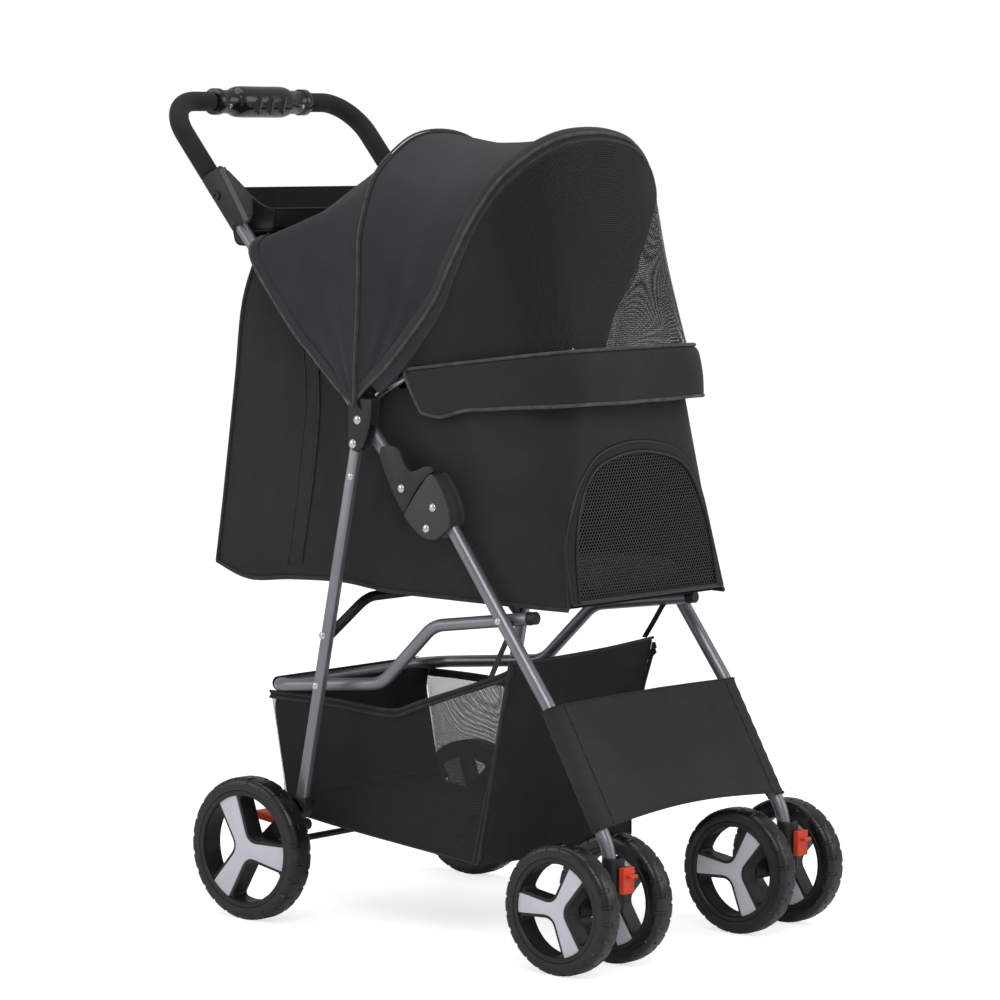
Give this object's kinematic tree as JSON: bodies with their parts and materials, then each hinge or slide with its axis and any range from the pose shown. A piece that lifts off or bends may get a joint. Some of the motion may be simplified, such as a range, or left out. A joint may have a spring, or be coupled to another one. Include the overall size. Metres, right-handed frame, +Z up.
{
  "type": "pet stroller",
  "caption": "Folding pet stroller: steel tube frame, fabric cabin with arched hood, swivelling twin front wheels, spoked rear wheels, tray and under-basket.",
  "frame": {"origin": "centre of the footprint of the whole open stroller, at the floor", "axes": "+X forward, +Y to the stroller's left, +Z up; metres"},
  "size_m": [0.7624, 0.4686, 0.9925],
  "materials": {
    "frame_steel": "satin lilac-grey powder coat",
    "axle_steel": "bright zinc plate",
    "black_plastic": "fine satin texture",
    "grip_plastic": "glossy",
    "grey_plastic": "satin",
    "red_plastic": "satin orange-red",
    "grip_foam": "matte closed-cell foam",
    "cabin_fabric": "woven polyester",
    "window_mesh": "fine knitted mesh",
    "pad_fabric": "soft fleece",
    "tyre_rubber": "satin tread",
    "rim_plastic": "silver paint over black"
  },
  "bodies": {
    "rear_frame": {"rear_leg_right": "frame_steel", "rear_leg_left": "frame_steel", "rear_cross_tube": "black_plastic", "rear_axle": "axle_steel", "wheel_bracket_right": "black_plastic", "wheel_bracket_left": "black_plastic"},
    "handle_frame": {"handle_tube": "frame_steel", "foam_grip_right": "grip_foam", "foam_grip_left": "grip_foam", "centre_grip": "grip_plastic", "tray": "black_plastic", "pivot_bracket_right": "grey_plastic", "pivot_bracket_left": "grey_plastic", "hood_rear_panel": "cabin_fabric"},
    "front_frame": {"front_leg_right": "frame_steel", "front_leg_left": "frame_steel", "latch_housing_right": "grey_plastic", "latch_housing_left": "grey_plastic", "caster_socket_right": "black_plastic", "caster_socket_left": "black_plastic", "front_panel": "cabin_fabric"},
    "link_frame": {"link_tube": "frame_steel", "link_plug_right": "black_plastic", "link_plug_left": "black_plastic", "basket_hanger_right": "cabin_fabric", "basket_hanger_left": "cabin_fabric", "basket": "cabin_fabric", "floor_board": "black_plastic", "floor_pad": "pad_fabric", "cabin_front": "cabin_fabric", "cabin_shell": "cabin_fabric"},
    "rim": {"rim_hoop": "frame_steel", "rim_flap": "cabin_fabric"},
    "front_bow_body": {"front_bow": "frame_steel", "mesh_window": "window_mesh"},
    "mid_bow_body": {"mid_bow": "frame_steel", "hood_front_panel": "cabin_fabric"},
    "latch_hook_right_body": {"latch_hook_right": "black_plastic"},
    "swivel_lock_right_body": {"swivel_lock_right": "red_plastic"},
    "brake_pedal_right_body": {"brake_pedal_right": "red_plastic"},
    "caster_right": {"caster_fork_right": "black_plastic", "caster_axle_right": "axle_steel"},
    "front_wheel_right_inner": {"front_wheel_right_inner_tyre": "tyre_rubber", "front_wheel_right_inner_rim": "rim_plastic"},
    "front_wheel_right_outer": {"front_wheel_right_outer_tyre": "tyre_rubber", "front_wheel_right_outer_rim": "rim_plastic"},
    "rear_wheel_right": {"rear_wheel_right_tyre": "tyre_rubber", "rear_wheel_right_rim": "rim_plastic"},
    "latch_hook_left_body": {"latch_hook_left": "black_plastic"},
    "swivel_lock_left_body": {"swivel_lock_left": "red_plastic"},
    "brake_pedal_left_body": {"brake_pedal_left": "red_plastic"},
    "caster_left": {"caster_fork_left": "black_plastic", "caster_axle_left": "axle_steel"},
    "front_wheel_left_inner": {"front_wheel_left_inner_tyre": "tyre_rubber", "front_wheel_left_inner_rim": "rim_plastic"},
    "front_wheel_left_outer": {"front_wheel_left_outer_tyre": "tyre_rubber", "front_wheel_left_outer_rim": "rim_plastic"},
    "rear_wheel_left": {"rear_wheel_left_tyre": "tyre_rubber", "rear_wheel_left_rim": "rim_plastic"}
  },
  "joints": [
    {"name": "fold", "type": "hinge", "parent": "rear_frame", "child": "handle_frame", "pos_m": [-0.03575, 0, 0.5785], "axis": [0, -1, 0], "range_deg": [0, 70], "deforming": ["cabin_shell", "cabin_front", "basket"]},
    {"name": "front_leg_fold", "type": "hinge", "parent": "handle_frame", "child": "front_frame", "pos_m": [0.07125, 0, 0.486], "axis": [0, 1, 0], "range_deg": [0, 114.4]},
    {"name": "link_lift", "type": "hinge", "parent": "rear_frame", "child": "link_frame", "pos_m": [-0.09475, 0, 0.287], "axis": [0, -1, 0], "range_deg": [0, 29.4]},
    {"name": "lid", "type": "hinge", "parent": "front_bow_body", "child": "rim", "pos_m": [-0.02875, 0, 0.634], "axis": [0, -1, 0], "range_deg": [0, 22.8], "deforming": ["mesh_window", "hood_front_panel", "hood_rear_panel"]},
    {"name": "front_bow_tilt", "type": "hinge", "parent": "mid_bow_body", "child": "front_bow_body", "pos_m": [-0.02875, 0, 0.634], "axis": [0, -1, 0], "range_deg": [0, 22.3]},
    {"name": "mid_bow_tilt", "type": "hinge", "parent": "handle_frame", "child": "mid_bow_body", "pos_m": [-0.02875, 0, 0.634], "axis": [0, -1, 0], "range_deg": [0, 15.1]},
    {"name": "latch_hook_right_turn", "type": "hinge", "parent": "handle_frame", "child": "latch_hook_right_body", "pos_m": [0.03265, -0.18, 0.53], "axis": [0, -1, 0], "range_deg": [0, 10]},
    {"name": "swivel_right", "type": "hinge", "parent": "front_frame", "child": "caster_right", "pos_m": [0.34025, -0.168, 0.09], "axis": [0, 0, 1], "continuous": true},
    {"name": "swivel_lock_right_slide", "type": "slide", "parent": "front_frame", "child": "swivel_lock_right_body", "axis": [0, 0, 1], "range_m": [0, 0.005]},
    {"name": "brake_pedal_right_press", "type": "hinge", "parent": "rear_frame", "child": "brake_pedal_right_body", "pos_m": [-0.14075, -0.16, 0.112], "axis": [0, -1, 0], "range_deg": [0, 20]},
    {"name": "front_wheel_right_inner_spin", "type": "hinge", "parent": "caster_right", "child": "front_wheel_right_inner", "pos_m": [0.30625, -0.1195, 0.075], "axis": [0, 1, 0], "continuous": true},
    {"name": "front_wheel_right_outer_spin", "type": "hinge", "parent": "caster_right", "child": "front_wheel_right_outer", "pos_m": [0.30625, -0.2165, 0.075], "axis": [0, 1, 0], "continuous": true},
    {"name": "rear_wheel_right_spin", "type": "hinge", "parent": "rear_frame", "child": "rear_wheel_right", "pos_m": [-0.17775, -0.2075, 0.086], "axis": [0, 1, 0], "continuous": true},
    {"name": "latch_hook_left_turn", "type": "hinge", "parent": "handle_frame", "child": "latch_hook_left_body", "pos_m": [0.03265, 0.18, 0.53], "axis": [0, -1, 0], "range_deg": [0, 10]},
    {"name": "swivel_left", "type": "hinge", "parent": "front_frame", "child": "caster_left", "pos_m": [0.34025, 0.168, 0.09], "axis": [0, 0, 1], "continuous": true},
    {"name": "swivel_lock_left_slide", "type": "slide", "parent": "front_frame", "child": "swivel_lock_left_body", "axis": [0, 0, 1], "range_m": [0, 0.005]},
    {"name": "brake_pedal_left_press", "type": "hinge", "parent": "rear_frame", "child": "brake_pedal_left_body", "pos_m": [-0.14075, 0.16, 0.112], "axis": [0, -1, 0], "range_deg": [0, 20]},
    {"name": "front_wheel_left_inner_spin", "type": "hinge", "parent": "caster_left", "child": "front_wheel_left_inner", "pos_m": [0.30625, 0.1195, 0.075], "axis": [0, 1, 0], "continuous": true},
    {"name": "front_wheel_left_outer_spin", "type": "hinge", "parent": "caster_left", "child": "front_wheel_left_outer", "pos_m": [0.30625, 0.2165, 0.075], "axis": [0, 1, 0], "continuous": true},
    {"name": "rear_wheel_left_spin", "type": "hinge", "parent": "rear_frame", "child": "rear_wheel_left", "pos_m": [-0.17775, 0.2075, 0.086], "axis": [0, 1, 0], "continuous": true}
  ],
  "couplings": [
    {"joint": "front_leg_fold", "follows": "fold", "ratio": 1.6329},
    {"joint": "link_lift", "follows": "fold", "ratio": 0.42},
    {"joint": "front_bow_tilt", "follows": "lid", "ratio": 0.9737},
    {"joint": "mid_bow_tilt", "follows": "lid", "ratio": 0.6579}
  ]
}
